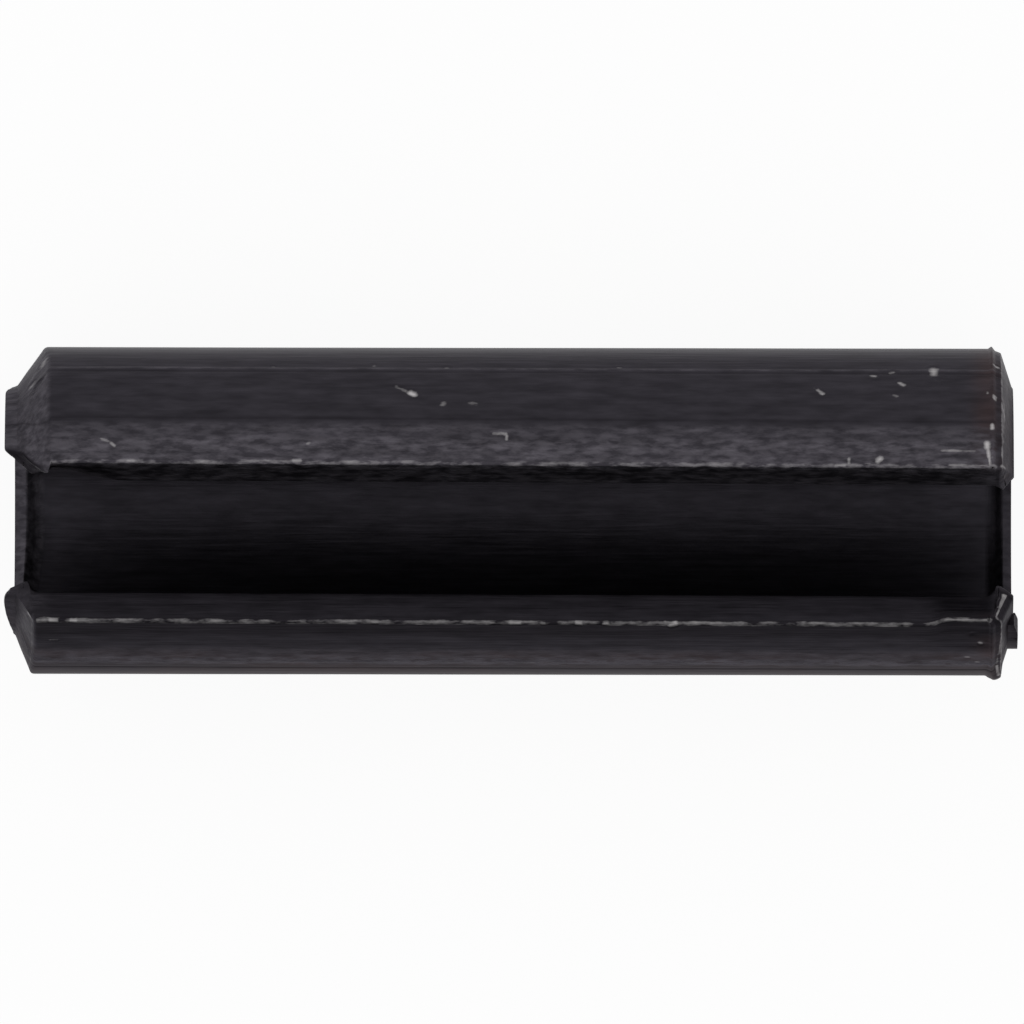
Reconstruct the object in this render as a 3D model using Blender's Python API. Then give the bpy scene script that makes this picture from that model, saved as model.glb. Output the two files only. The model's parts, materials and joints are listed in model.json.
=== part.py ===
"""Slotted spring pin: one strip of spring steel rolled into an open tube.

The pin lies on its back along X with its slot facing up. Its lead end, with the longer
chamfer, points to -X and its blunt end to +X. The origin is under its middle, at the
bottom. All sizes are in metres.
"""

import math
from collections import namedtuple

import bmesh
import bpy
from mathutils import Matrix, Vector

# The rolled strip
LENGTH = 0.0140
OUTER_DIAMETER = 0.00458
WALL = 0.00050
SLOT_WIDTH = 0.00226
LIP_FLAT = 0.00064
LIP_EDGE = 0.000035
LIP_TIP_ROUND = 0.00011
SLOT_SKEW = math.radians(1.5)
SKEW_FADE = (math.radians(60), math.radians(150))

# The lead end, swaged to a long chamfer a little out of square
LEAD_LENGTH = 0.00040
LEAD_DEPTH = 0.00054
LEAD_SLANT = 0.00024
LEAD_LAND = 0.00005
LEAD_SHOULDER = 0.00008

# The blunt end, with a narrow shelf and a short steep chamfer
BLUNT_LENGTH = 0.00017
BLUNT_DEPTH = 0.00053
BLUNT_LAND = 0.00002
SHELF_LENGTH = 0.00008
SHELF_DROP = 0.00006

# The end faces: a flat rim, then a lean to the ridge that swaging raises in the bore
RIM_WIDTH = 0.00006
RIM_EDGE = 0.00003
TIP_WALL = 0.00015
RIDGE_RADIUS = 0.00004
LEAD_RIDGE = 0.00017
LEAD_BEND = 0.00034
BLUNT_RIDGE = 0.00013
BLUNT_BEND = 0.00027
BEND_RADIUS = 0.00020

# Noses that the cut-off leaves on the lips at the lead end
LEFT_NOSE = 0.00011
RIGHT_NOSE = 0.00012
NOSE_CORNER = math.radians(12)
LEFT_NOSE_END = (math.radians(84), math.radians(104))
RIGHT_NOSE_END = (math.radians(34), math.radians(72))

# The left lip's corner at the lead end, squeezed out by the swaging and then worn back
LIP_BULGE = 0.00013
CORNER_CUT = 0.00050
CORNER_REACH = 0.00028
CORNER_ARC = math.radians(85)

# Burrs at the blunt end: a ring behind the shoulder and a tab on the right lip
BURR_HEIGHT = 0.000035
BURR_WIDTH = 0.00010
BURR_FADE = (math.radians(105), math.radians(150))
TAB_LENGTH = 0.00007
TAB_HEIGHT = 0.00016
TAB_ARC = (math.radians(43), math.radians(72))
TAB_RISE = math.radians(8)

# The right lip's edge, pushed a little into the slot before the blunt end
CREEP = 0.00007
CREEP_LENGTH = 0.0008

# Facets
ARC_STEPS = 57
FLAT_STEPS = 3
ROUND_STEPS = 2
STATIONS = 8

STEEL_COLOUR = (0.032, 0.030, 0.033, 1.0)
STEEL_ROUGHNESS = 0.42
STEEL_METALLIC = 0.85
SHARP_ANGLE = math.radians(28)

OUTER_RADIUS = OUTER_DIAMETER / 2
BORE_RADIUS = OUTER_RADIUS - WALL
LEAD_X = -LENGTH / 2
BLUNT_X = LENGTH / 2
LEAD_TIP = OUTER_RADIUS - LEAD_DEPTH
BLUNT_TIP = OUTER_RADIUS - BLUNT_DEPTH
BURR_X = BLUNT_X - BLUNT_LENGTH - SHELF_LENGTH

# The round wall ends at this angle from the middle of the slot, and the lips go on straight
LIP_DISTANCE = math.hypot(OUTER_RADIUS, LIP_FLAT)
FLAT_ANGLE = math.atan(LIP_FLAT / OUTER_RADIUS) + math.asin(SLOT_WIDTH / 2 / LIP_DISTANCE)
LEFT_ALONG = Vector((0, -math.cos(FLAT_ANGLE), math.sin(FLAT_ANGLE)))
RIGHT_ALONG = Vector((0, math.cos(FLAT_ANGLE), math.sin(FLAT_ANGLE)))

Corner = namedtuple("Corner", "x radius bend steps")


def smooth_step(value, start, end):
    """Rise smoothly from 0 at start to 1 at end."""
    share = min(max((value - start) / (end - start), 0.0), 1.0)
    return share * share * (3.0 - 2.0 * share)


def lip_angle(radius):
    """Angle from the middle of the slot to a lip's edge, on the wall at a radius."""
    return FLAT_ANGLE - math.atan(LIP_FLAT / radius)


def arc_point(centre, start, end, share):
    """Point at a share of the arc from start to end round centre."""
    first = start - centre
    last = end - centre
    turn = first.angle(last)
    first_part = math.sin((1 - share) * turn) / math.sin(turn)
    last_part = math.sin(share * turn) / math.sin(turn)
    return centre + first * first_part + last * last_part


def rounded(corners):
    """Outline of a closed run of corners, each rounded to its own bend radius."""
    outline = []
    for index, corner in enumerate(corners):
        here = Vector((corner.x, corner.radius))
        previous = corners[index - 1]
        following = corners[(index + 1) % len(corners)]
        back = Vector((previous.x, previous.radius)) - here
        ahead = Vector((following.x, following.radius)) - here
        if corner.bend == 0:
            outline.append(here)
            continue
        half = back.angle(ahead) / 2
        reach = min(corner.bend / math.tan(half), back.length * 0.45, ahead.length * 0.45)
        start = here + back.normalized() * reach
        end = here + ahead.normalized() * reach
        inward = (back.normalized() + ahead.normalized()).normalized()
        centre = here + inward * (reach / math.cos(half))
        for step in range(corner.steps + 1):
            outline.append(arc_point(centre, start, end, step / corner.steps))
    return outline


def wall_outline():
    """Section of the wall in X and radius: along the outside, then back in the bore."""
    shelf = Vector((BURR_X + SHELF_LENGTH, OUTER_RADIUS - SHELF_DROP))
    tip = Vector((BLUNT_X - BLUNT_LAND, BLUNT_TIP))
    tab = tip.lerp(shelf, TAB_HEIGHT / (shelf.y - tip.y))
    corners = [
        Corner(LEAD_X, LEAD_TIP - RIM_EDGE, 0, 0),
        Corner(LEAD_X + LEAD_LAND, LEAD_TIP, 0, 0),
        Corner(LEAD_X + LEAD_LENGTH, OUTER_RADIUS, LEAD_SHOULDER, 3),
        Corner(BURR_X - BURR_WIDTH, OUTER_RADIUS, 0, 0),
        Corner(BURR_X - BURR_WIDTH / 2, OUTER_RADIUS + BURR_HEIGHT, 0, 0),
        Corner(BURR_X, OUTER_RADIUS - SHELF_DROP / 2, 0, 0),
        Corner(shelf.x, shelf.y, SHELF_LENGTH / 3, 1),
        Corner(tab.x, tab.y, 0, 0),
        Corner(tip.x, tip.y, 0, 0),
        Corner(BLUNT_X, BLUNT_TIP - RIM_EDGE, 0, 0),
        Corner(BLUNT_X, BLUNT_TIP - RIM_EDGE - RIM_WIDTH, 0, 0),
        Corner(BLUNT_X - BLUNT_RIDGE, BLUNT_TIP - TIP_WALL, RIDGE_RADIUS, 2),
        Corner(BLUNT_X - BLUNT_BEND, BORE_RADIUS, BEND_RADIUS, 3),
        Corner(LEAD_X + LEAD_BEND, BORE_RADIUS, BEND_RADIUS, 3),
        Corner(LEAD_X + LEAD_RIDGE, LEAD_TIP - TIP_WALL, RIDGE_RADIUS, 2),
        Corner(LEAD_X, LEAD_TIP - RIM_EDGE - RIM_WIDTH, 0, 0),
    ]
    return rounded(corners)


def draw_section(mesh):
    """Draw the wall's section as a closed run of edges, where the left lip's flat starts."""
    turn = Matrix.Rotation(-FLAT_ANGLE, 4, "X")
    verts = [mesh.verts.new(turn @ Vector((x, 0, radius))) for x, radius in wall_outline()]
    return [mesh.edges.new((verts[i - 1], verts[i])) for i in range(len(verts))]


def roll_round(mesh, section):
    """Sweep the section round the pin, from one lip's flat to the other's."""
    verts = list({vert for edge in section for vert in edge.verts})
    swept = bmesh.ops.spin(
        mesh,
        geom=verts + section,
        cent=(0, 0, 0),
        axis=(-1, 0, 0),
        angle=2 * math.pi - 2 * FLAT_ANGLE,
        steps=ARC_STEPS,
        use_duplicate=False,
    )
    return [item for item in swept["geom_last"] if isinstance(item, bmesh.types.BMEdge)]


def extend_flat(mesh, edges, along):
    """Carry the wall on from a run of edges, straight towards the slot."""
    stride = along * ((LIP_FLAT - LIP_EDGE) / FLAT_STEPS)
    for _ in range(FLAT_STEPS):
        grown = bmesh.ops.extrude_edge_only(mesh, edges=edges)["geom"]
        verts = [item for item in grown if isinstance(item, bmesh.types.BMVert)]
        edges = [item for item in grown if isinstance(item, bmesh.types.BMEdge)]
        bmesh.ops.translate(mesh, verts=verts, vec=stride)
    return edges


def close_lips(mesh, loops):
    """Close both slot faces and round their edges."""
    faces = [bmesh.ops.contextual_create(mesh, geom=loop)["faces"][0] for loop in loops]
    bmesh.ops.recalc_face_normals(mesh, faces=mesh.faces)
    for step in range(ROUND_STEPS):
        start = math.pi / 2 * step / ROUND_STEPS
        end = math.pi / 2 * (step + 1) / ROUND_STEPS
        bmesh.ops.inset_individual(
            mesh,
            faces=faces,
            thickness=LIP_EDGE * (math.cos(start) - math.cos(end)),
            depth=LIP_EDGE * (math.sin(end) - math.sin(start)),
            use_even_offset=True,
        )


def cut_stations(mesh):
    """Cut rings into the long straight wall, so that it can take the slot's skew."""
    start = LEAD_X + LEAD_LENGTH + LEAD_SHOULDER * 2
    end = BURR_X - BURR_WIDTH * 2
    places = [start + (end - start) * index / STATIONS for index in range(STATIONS + 1)]
    for place in places + [BLUNT_X - CREEP_LENGTH]:
        geometry = mesh.verts[:] + mesh.edges[:] + mesh.faces[:]
        bmesh.ops.bisect_plane(mesh, geom=geometry, plane_co=(place, 0, 0), plane_no=(1, 0, 0))


def on_tab(face):
    """Whether a face is on the blunt end's tip, where the tab of burr is drawn out."""
    centre = face.calc_center_median()
    radius = math.hypot(centre.y, centre.z)
    on_tip = BLUNT_TIP - RIM_EDGE - RIM_WIDTH < radius < BLUNT_TIP + TAB_HEIGHT
    on_end = centre.x > BLUNT_X - BLUNT_LENGTH and face.normal.x > 0.1
    return on_tip and on_end and TAB_ARC[0] < math.atan2(-centre.y, centre.z) < TAB_ARC[1]


def raise_tab(mesh):
    """Draw a tab of burr out of the blunt end's tip, on the right lip."""
    faces = [face for face in mesh.faces if on_tab(face)]
    grown = bmesh.ops.extrude_face_region(mesh, geom=faces)["geom"]
    bmesh.ops.delete(mesh, geom=faces, context="FACES_ONLY")
    for vert in [item for item in grown if isinstance(item, bmesh.types.BMVert)]:
        past_start = math.atan2(-vert.co.y, vert.co.z) - TAB_ARC[0]
        share = smooth_step(past_start, -TAB_RISE / 2, TAB_RISE)
        vert.co.x = BLUNT_X + TAB_LENGTH * share


def round_lip_tip(vert):
    """Widen the round edge where a lip's slot face meets the end of the pin."""
    along = LEFT_ALONG if vert.co.y > 0 else RIGHT_ALONG
    share = min(max((along.dot(vert.co) - LIP_FLAT + LIP_EDGE) / LIP_EDGE, 0), 1)
    lead_share = max(1 - (vert.co.x - LEAD_X) / LEAD_LENGTH, 0)
    blunt_share = max(1 - (BLUNT_X - vert.co.x) / BLUNT_LENGTH, 0)
    vert.co.x += LIP_TIP_ROUND * share * (lead_share - blunt_share)


def nose_length(angle):
    """How far a lip's nose stands past the lead end's rim, at an angle from the slot."""
    corner = lip_angle(LEAD_TIP)
    rise = smooth_step(abs(angle), corner - NOSE_CORNER / 2, corner + NOSE_CORNER)
    if angle > 0:
        return LEFT_NOSE * rise * (1 - smooth_step(angle, *LEFT_NOSE_END))
    return RIGHT_NOSE * rise * (1 - smooth_step(-angle, *RIGHT_NOSE_END))


def shape_lead_end(vert, angle):
    """Slant the shoulder, draw out the noses, and squeeze and wear the left lip's corner."""
    inboard = vert.co.x - LEAD_X
    if inboard > LEAD_LENGTH + LEAD_SHOULDER:
        return
    slant = LEAD_SLANT / 2 * vert.co.y / OUTER_RADIUS
    nose = nose_length(angle) * (1 - smooth_step(inboard, 0, LEAD_LAND))
    vert.co.x += slant * min(inboard / LEAD_LENGTH, 1) - nose
    if 0 < angle < CORNER_ARC:
        past_shoulder = smooth_step(inboard, LEAD_LENGTH, LEAD_LENGTH + LEAD_SHOULDER / 2)
        worn = 1 - smooth_step(inboard, 0, CORNER_REACH)
        share = 1 - smooth_step(angle, lip_angle(OUTER_RADIUS), CORNER_ARC)
        shift = LIP_BULGE * (1 - past_shoulder) - CORNER_CUT * worn
        vert.co = Matrix.Rotation(shift / LEAD_TIP * share, 4, "X") @ vert.co


def fade_burr(vert, angle):
    """Fade the blunt end's ring of burr to nothing underneath, where the pin rests."""
    outward = Vector((0, vert.co.y, vert.co.z))
    excess = outward.length - OUTER_RADIUS
    if excess > 0 and vert.co.x > BURR_X - BURR_WIDTH and abs(angle) > BURR_FADE[0]:
        vert.co -= outward.normalized() * (excess * smooth_step(abs(angle), *BURR_FADE))


def creep_lip(vert):
    """Push the right lip's edge a little into the slot, just before the blunt end."""
    reach = RIGHT_ALONG.dot(vert.co)
    if vert.co.y < 0 and reach > 0:
        rise = smooth_step(vert.co.x, BLUNT_X - CREEP_LENGTH, BLUNT_X - CREEP_LENGTH * 0.4)
        vert.co += RIGHT_ALONG * (CREEP * rise * min(reach / LIP_FLAT, 1))


def skew_slot(vert, angle):
    """Turn the lips round the pin's axis along its length, and leave the back straight."""
    share = 1 - smooth_step(abs(angle), *SKEW_FADE)
    turn = Matrix.Rotation(SLOT_SKEW * vert.co.x / LENGTH * share, 4, "X")
    vert.co = turn @ vert.co


def spring_steel():
    """Blackened spring steel, dark and half glossy."""
    material = bpy.data.materials.new("black_oxide_spring_steel")
    material.use_nodes = True
    shader = material.node_tree.nodes["Principled BSDF"]
    shader.inputs["Base Color"].default_value = STEEL_COLOUR
    shader.inputs["Roughness"].default_value = STEEL_ROUGHNESS
    shader.inputs["Metallic"].default_value = STEEL_METALLIC
    material.diffuse_color = STEEL_COLOUR
    return material


def slotted_spring_pin():
    """Roll the strip, shape its ends, and stand the pin on its lowest facet."""
    mesh = bmesh.new()
    left_section = draw_section(mesh)
    right_section = roll_round(mesh, left_section)
    left_loop = extend_flat(mesh, left_section, LEFT_ALONG)
    right_loop = extend_flat(mesh, right_section, RIGHT_ALONG)
    close_lips(mesh, [left_loop, right_loop])
    cut_stations(mesh)
    raise_tab(mesh)
    for vert in mesh.verts:
        angle = math.atan2(vert.co.y, vert.co.z)
        round_lip_tip(vert)
        shape_lead_end(vert, angle)
        fade_burr(vert, angle)
        creep_lip(vert)
        skew_slot(vert, angle)
    half_facet = (math.pi - FLAT_ANGLE) / ARC_STEPS
    height = OUTER_RADIUS * math.cos(half_facet)
    bmesh.ops.translate(mesh, verts=mesh.verts, vec=(0, 0, height))
    bmesh.ops.recalc_face_normals(mesh, faces=mesh.faces)
    data = bpy.data.meshes.new("slotted_spring_pin")
    mesh.to_mesh(data)
    mesh.free()
    data.materials.append(spring_steel())
    data.shade_smooth()
    data.set_sharp_from_angle(angle=SHARP_ANGLE)
    pin = bpy.data.objects.new("slotted_spring_pin", data)
    bpy.context.collection.objects.link(pin)


def main():
    for item in list(bpy.data.objects):
        bpy.data.objects.remove(item, do_unlink=True)
    slotted_spring_pin()


main()
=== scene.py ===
"""Looks of a slotted spring pin: a strip of spring steel, rolled, swaged and blackened.

Run as a script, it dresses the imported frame. It rolls a finely meshed pin in place of the
plain solid, with its burrs, nicks and worn lips, and sets a small studio stage round it.
The pin lies on its back along X with its slot up and its lead end to -X, in metres.
"""

import json
import math
from collections import namedtuple

import bmesh
import bpy
from bpy.props import FloatProperty, FloatVectorProperty, PointerProperty
from mathutils import Matrix, Vector, noise


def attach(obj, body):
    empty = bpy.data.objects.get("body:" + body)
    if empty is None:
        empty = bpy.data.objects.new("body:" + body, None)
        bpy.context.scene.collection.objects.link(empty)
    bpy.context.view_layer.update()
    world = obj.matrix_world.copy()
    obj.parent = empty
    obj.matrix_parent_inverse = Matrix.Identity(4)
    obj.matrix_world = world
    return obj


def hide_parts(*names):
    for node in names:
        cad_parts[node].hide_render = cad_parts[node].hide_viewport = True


bl_info = {
    "name": "Slotted spring pin",
    "version": (1, 0, 0),
    "blender": (4, 5, 0),
    "location": "3D View > Sidebar > Spring pin",
    "description": "Rolls a blackened slotted spring pin and sets a stage to show it on",
    "category": "Add Mesh",
}

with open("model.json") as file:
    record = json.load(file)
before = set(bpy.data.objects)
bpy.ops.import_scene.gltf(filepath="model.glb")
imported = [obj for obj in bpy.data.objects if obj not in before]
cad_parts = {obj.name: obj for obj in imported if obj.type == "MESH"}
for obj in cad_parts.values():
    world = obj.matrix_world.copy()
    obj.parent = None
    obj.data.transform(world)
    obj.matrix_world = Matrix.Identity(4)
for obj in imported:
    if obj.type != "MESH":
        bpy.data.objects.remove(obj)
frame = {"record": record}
bpy.context.view_layer.update()
NODE = "slotted_spring_pin"
BODY = "root"

MM = 0.001
RIMS = {mount["name"]: mount["pos_m"] for mount in frame["record"]["mounts"]}
FRAME_LENGTH = RIMS["blunt_rim"][0] - RIMS["lead_rim"][0]

# The swaged lead end: its shoulder lies out of square, further in on the left lip. The
# shift turns and fades between angles from the slot, in degrees
LEAD_LAND = 0.05 * MM
LEAD_SHOULDER = 0.08 * MM
LEFT_SHOULDER_SHIFT = 0.112 * MM
LEFT_SIDE_SHIFT = 0.041 * MM
RIGHT_SHOULDER_SHIFT = -0.083 * MM
RIGHT_SIDE_SHIFT = -0.150 * MM
LEFT_SHIFT_TURN = (75, 102)
RIGHT_SHIFT_TURN = (44, 77)
SHIFT_FADE = (102, 160)

# The blunt end: a narrow land, and a shelf behind the cone
BLUNT_LAND = 0.02 * MM
SHELF_LENGTH = 0.08 * MM
SHELF_DROP = 0.06 * MM

# The end faces: a flat rim, then a lean to the ridge that swaging raises in the bore
RIM_WIDTH = 0.06 * MM
RIM_EDGE = 0.03 * MM
TIP_WALL = 0.15 * MM
RIDGE_RADIUS = 0.04 * MM
LEAD_RIDGE = 0.17 * MM
LEAD_BEND = 0.34 * MM
BLUNT_RIDGE = 0.13 * MM
BLUNT_BEND = 0.27 * MM
BEND_RADIUS = 0.20 * MM
EDGE_BEND = 0.012 * MM

# Noses that the cut-off leaves on the lips at the lead end
LEFT_NOSE = 0.109 * MM
RIGHT_NOSE = 0.117 * MM
LEFT_NOSE_CORNER = math.radians(4)
RIGHT_NOSE_CORNER = math.radians(12)
LEFT_NOSE_END = (math.radians(84), math.radians(104))
RIGHT_NOSE_END = (math.radians(34), math.radians(72))

# The left lip's corner at the lead end, squeezed out by the swaging and then worn back. The
# slot face under it leans back, from a share of the wall's thickness down to the bore
CORNER_FLARE = 0.54
FLARE_START = 0.297 * MM
CORNER_CUT = 0.14 * MM
CORNER_REACH = 0.22 * MM
CORNER_UNDERCUT = 0.24 * MM
UNDERCUT_LENGTH = 1.6 * MM
UNDERCUT_START = 0.2
CORNER_ARC = math.radians(75)
CORNER_CURVE = 0.7

# The round tips of the lips, and their corners where the tool has broken them
LIP_TIP_ROUND = 0.11 * MM
RIGHT_TIP_ROUND = 0.19 * MM
LEAD_BREAK = 0.10 * MM
LEAD_BREAK_REACH = 0.29 * MM
LEFT_BLUNT_BREAK = 0.18 * MM
RIGHT_BLUNT_BREAK = 0.08 * MM
BLUNT_BREAK_REACH = 0.18 * MM
BREAK_WIDTH = 0.30 * MM
RIGHT_BLUNT_BACK = 0.09 * MM
BACK_BEFORE_BURR = 0.2 * MM
BACK_PAST_BURR = 0.1 * MM
BACK_WIDTH = 0.16 * MM

# Burrs at the blunt end: a ring behind the shoulder, kept in part, with a bead low on the
# right side, and a tab on the right lip
BURR_HEIGHT = 0.034 * MM
BURR_WIDTH = 0.10 * MM
BURR_MARGIN = BURR_WIDTH * 1.4
BURR_FADE = (math.radians(105), math.radians(150))
BURR_KEPT = 0.72
BURR_RAGGED = 0.5
BURR_WAVES = 7
BEAD_ARC = (math.radians(-72), math.radians(17))
BEAD_HEIGHT = 0.066 * MM
BEAD_LENGTH = 0.25 * MM
BEAD_START = 0.13 * MM
BEAD_SKIN = 0.1 * MM
BEAD_DEPTH = 0.12 * MM
TAB_LENGTH = 0.068 * MM
TAB_HEIGHT = 0.16 * MM
TAB_ARC = (math.radians(43), math.radians(72))
TAB_RISE = math.radians(8)

# The slot: a little skew, and the right lip pushed into it before the blunt end
SLOT_SKEW = math.radians(1.5)
SKEW_FADE = (math.radians(60), math.radians(150))
CREEP = 0.085 * MM
CREEP_LENGTH = 1.20 * MM
CREEP_RISE = 0.28 * MM
REST_FLAT = 0.19 * MM

# Facets: the roll is finer where lines run along the wall; angles are from the slot. A bend
# takes up at most LONGEST_BEND of the edge beside it
ROLL_SECTORS = (
    (45.6, 1),
    (47.8, 5),
    (53.8, 4),
    (55.4, 4),
    (59.8, 3),
    (61.4, 4),
    (69.2, 5),
    (74.2, 10),
    (110.0, 19),
    (180.0, 31),
)
FLAT_STRIDES = (0.06, 0.06, 0.06, 0.06, 0.06, 0.06, 0.06, 0.05, 0.04, 0.03, 0.025, 0.02, 0.02)
STATION_PITCH = 0.080 * MM
LIP_SEGMENTS = 4
SLOT_FACE_STRIPS = 6
MARK_FACET = 0.04 * MM
SHARP_ANGLE = math.radians(40)
LONGEST_BEND = 0.45

# Rings cut into the cones and the burr, as shares of their lengths
LEAD_RINGS = (0.25, 0.4, 0.55, 0.7, 0.85)
BLUNT_RINGS = (0.35, 0.65)
BURR_RINGS = (-1.2, -0.75, -0.25, 0.3, 0.6)

# Roughness of the surface in millimetres: the length and width of its waves, and their height
WAVES = (2.6, 1.3)
WAVE_HEIGHT = 0.0022
GRAIN = (0.3, 0.1)
GRAIN_HEIGHT = 0.0025
CONE_LUMPS = (0.13, 0.16)
CONE_LUMP_HEIGHT = 0.012

# Wear of the lips' edges in millimetres: long shallow hollows and short nicks
HOLLOW_LENGTH = 0.42
HOLLOW_DEPTH = 0.018
NICK_LENGTH = 0.13
NICK_DEPTH = 0.007
WEAR_WIDTH = 0.16 * MM

# A mark reaches as far as MARK_REACH of its half widths; metal stands up in a band beside it
MARK_REACH = 3
MARK_SKIN = 0.07 * MM
MARK_MARGIN = 0.03
RAISED_BAND = (1.4, 0.6)
RAISED_SHARE = 0.35
BARE_FADE = (-0.3, 1.9)

# The stage: the room is bright overhead and on the left lip's side, and dim low on the other
ROOM_LIGHT = 0.95
ROOM_DIM = 0.25
ROOM_BRIGHT_SIDE = (0, 0.6, 0.8)
FLOOR_GLOW = 0.92
LAMP_PLACE = (-0.03, 0.12, 0.16)
LAMP_SIZE = (0.14, 0.10)
CAMERA_AIM = (-0.014 * MM, -0.010 * MM)
CAMERA_ROLL = math.radians(0.11)

# Where each part of the finish begins and ends, below the skin or along the pin, and how
# bare the lips' edges are
SKIN_FADE = (0.05 * MM, 0.12 * MM)
FACE_FADE = (0.06 * MM, 0.12 * MM)
FACE_REACH = 0.12 * MM
BORE_FADE = (0.30 * MM, 0.45 * MM)
LEAD_CONE_END = (0.36 * MM, 0.44 * MM)
BLUNT_CONE_START = (0.03 * MM, 0.02 * MM)
# Painted shade: where the darker colour ends on the left lip's slot face and across the right lip's
# flat
SHADED_FACE_END = (0.7 * MM, 1.6 * MM)
SHADED_FLAT_END = (0.60 * MM, 0.70 * MM)
LESS_SHADED_FLAT = (0.28 * MM, 0.42 * MM)
TAB_END_FADE = 0.01 * MM
BROWN_END = (6.30 * MM, 6.66 * MM)
WORN_EDGE_REACH = 0.09 * MM
WORN_EDGE_FADE = (0.03 * MM, 0.06 * MM)
WORN_TIP_REACH = 0.06 * MM
LEFT_EDGE_BARE = 0.42
RIGHT_EDGE_BARE = 0.445

Band = namedtuple("Band", "middle half strength")

# Bands of the finish and fine lines along the wall: middle and half width in degrees from the
# slot, then strength, or height in millimetres. The rough band at 72.7 is a painted highlight on
# a ridge, the two rough bands and the streak low on the right side are a painted reflection of
# the floor, the darker bands at 46.7, 70.6 and -60.6 are painted shade in the creases, and the
# chamfer arc is a paler band across the blunt chamfer
ROUGH_AND_SHEEN_BANDS = (Band(-51, 9, 0.7), Band(-54.4, 4.4, 2.2), Band(72.7, 1.1, 0.7))
CREASE_SHADE_BANDS = (Band(46.7, 1.1, 0.45), Band(70.6, 1.1, 0.40), Band(-60.6, 1.2, 0.8))
FLOOR_REFLECTION_STREAK = Band(-54.6, 2.5, 0.34)
PALE_CHAMFER_ARC = (52, 22)
LOWER_WALL = (44, 50)
BROWN_FADE = (76, 110)
WALL_LINES = (
    Band(72.7, 1.1, 0.005),
    Band(70.6, 1.1, -0.005),
    Band(46.7, 1.0, -0.005),
    Band(-54.6, 0.9, 0.004),
    Band(-60.6, 0.9, -0.005),
)

# Steps and bands of the rough oxide across the left lip's flat, in millimetres from its edge
ROUGH_STEPS = ((0.45, 0.37, 0.46), (0.55, 0.60, 0.70))
ROUGH_STRIPES = (Band(0.18, 0.05, -0.25), Band(0.57, 0.04, 0.1))
WORN_RIDGE = Band(0.33, 0.03, 0.30)

# Noises of the finish: name, length, width, detail
GRAINS = (
    ("lines", 1.6 * MM, 0.09 * MM, 3.0),
    ("blotches", 0.26 * MM, 0.10 * MM, 3.0),
    ("clouds", 1.8 * MM, 0.9 * MM, 2.0),
    ("grit", 0.05 * MM, 0.035 * MM, 2.0),
    ("stains", 0.55 * MM, 0.15 * MM, 2.0),
)
# Of the layers, the second is painted shade with darker oxide on the cones, and the first and last
# also carry painted highlights and a painted reflection
FINISH_LAYERS = ("rough", "smooth", "matt", "brown", "bare")

Corner = namedtuple("Corner", "x radius bend")
Spot = namedtuple("Spot", "degrees outside slot_face lead_cone blunt_cone")
Place = namedtuple("Place", "side across depth skin outward along")

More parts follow.
